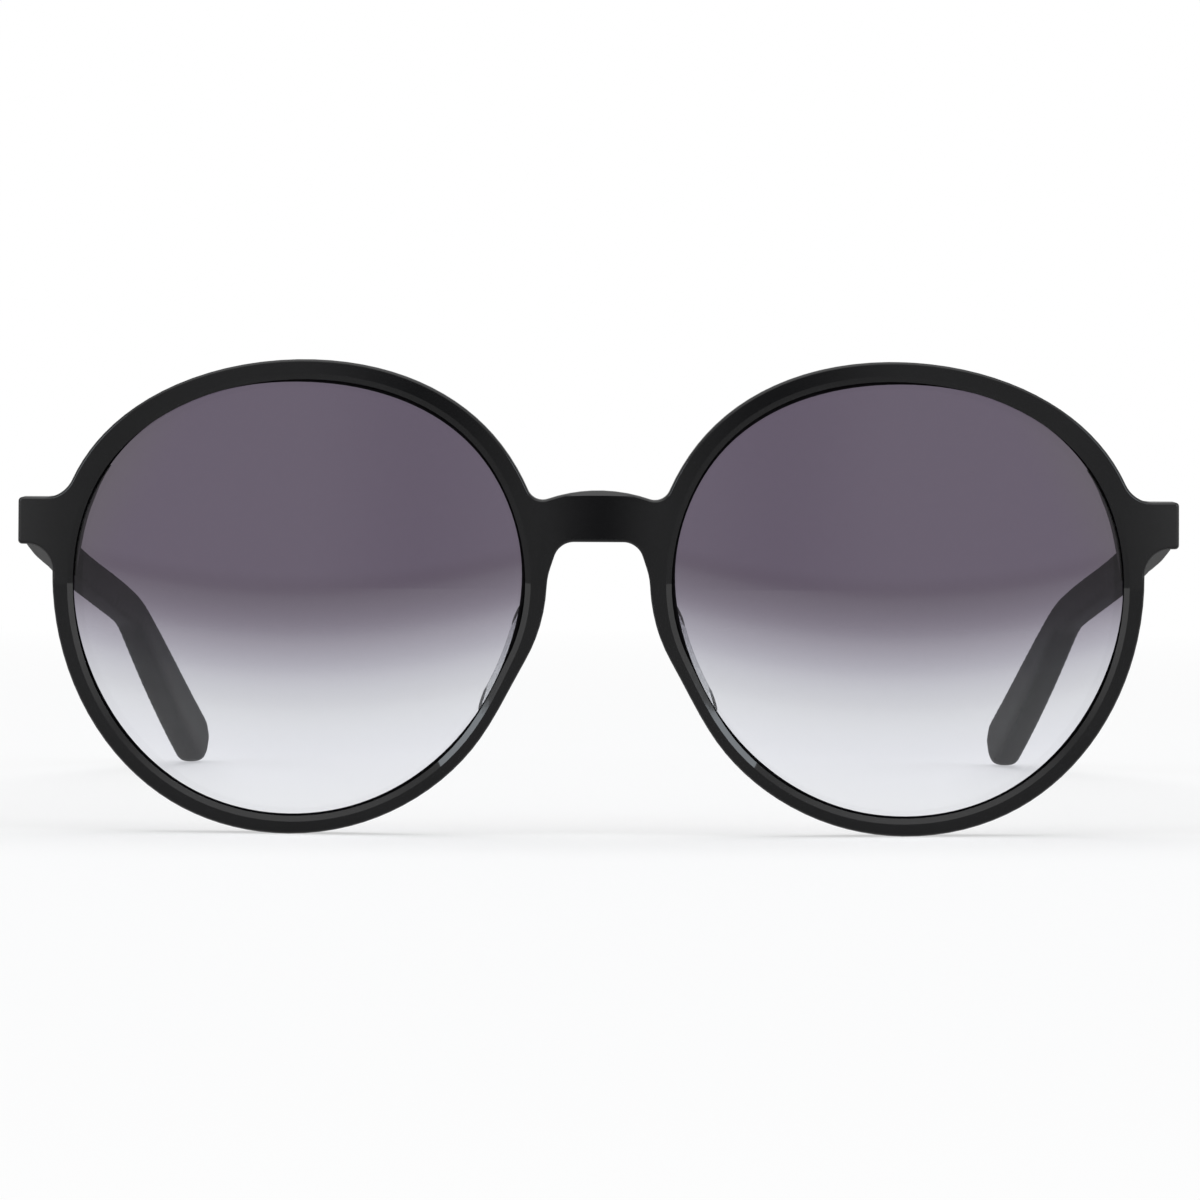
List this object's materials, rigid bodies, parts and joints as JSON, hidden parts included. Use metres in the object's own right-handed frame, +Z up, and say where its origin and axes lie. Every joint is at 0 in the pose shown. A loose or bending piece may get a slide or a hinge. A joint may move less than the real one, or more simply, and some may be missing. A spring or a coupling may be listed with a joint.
{
  "type": "oversized sunglasses",
  "caption": "Large round acetate sunglasses with curved gradient lenses, clear nose pads and barrel-hinged folding temples, worn on the face to shade the eyes.",
  "frame": {"origin": "on the floor under the middle of the open glasses, which stand on the rims and the temple tips", "axes": "+X to the wearer's left, +Y from the front back along the temples, +Z up; the front faces -Y"},
  "size_m": [0.1468, 0.1398, 0.0597],
  "materials": {
    "acetate": "polished black acetate",
    "lens": "smoked plastic lens, dark at the top and nearly clear at the bottom",
    "clear_pad": "clear moulded plastic",
    "hinge_metal": "nickel silver, drawn",
    "screw_metal": "polished steel",
    "core_metal": "drawn nickel silver wire"
  },
  "bodies": {
    "front": {"front_frame": "acetate", "left_lens": "lens", "right_lens": "lens", "left_nose_pad": "clear_pad", "right_nose_pad": "clear_pad", "left_front_hinge": "hinge_metal", "right_front_hinge": "hinge_metal", "left_hinge_screw": "screw_metal", "right_hinge_screw": "screw_metal"},
    "left_temple_arm": {"left_temple": "acetate", "left_temple_hinge": "hinge_metal", "left_core_wire": "core_metal"},
    "right_temple_arm": {"right_temple": "acetate", "right_temple_hinge": "hinge_metal", "right_core_wire": "core_metal"}
  },
  "joints": [
    {"name": "left_fold", "type": "hinge", "parent": "front", "child": "left_temple_arm", "pos_m": [0.06765, -0.05439, 0.03912], "axis": [0, 0, 1], "range_deg": [0, 86]},
    {"name": "right_fold", "type": "hinge", "parent": "front", "child": "right_temple_arm", "pos_m": [-0.06765, -0.05439, 0.03912], "axis": [0, 0, -1], "range_deg": [0, 80]}
  ]
}
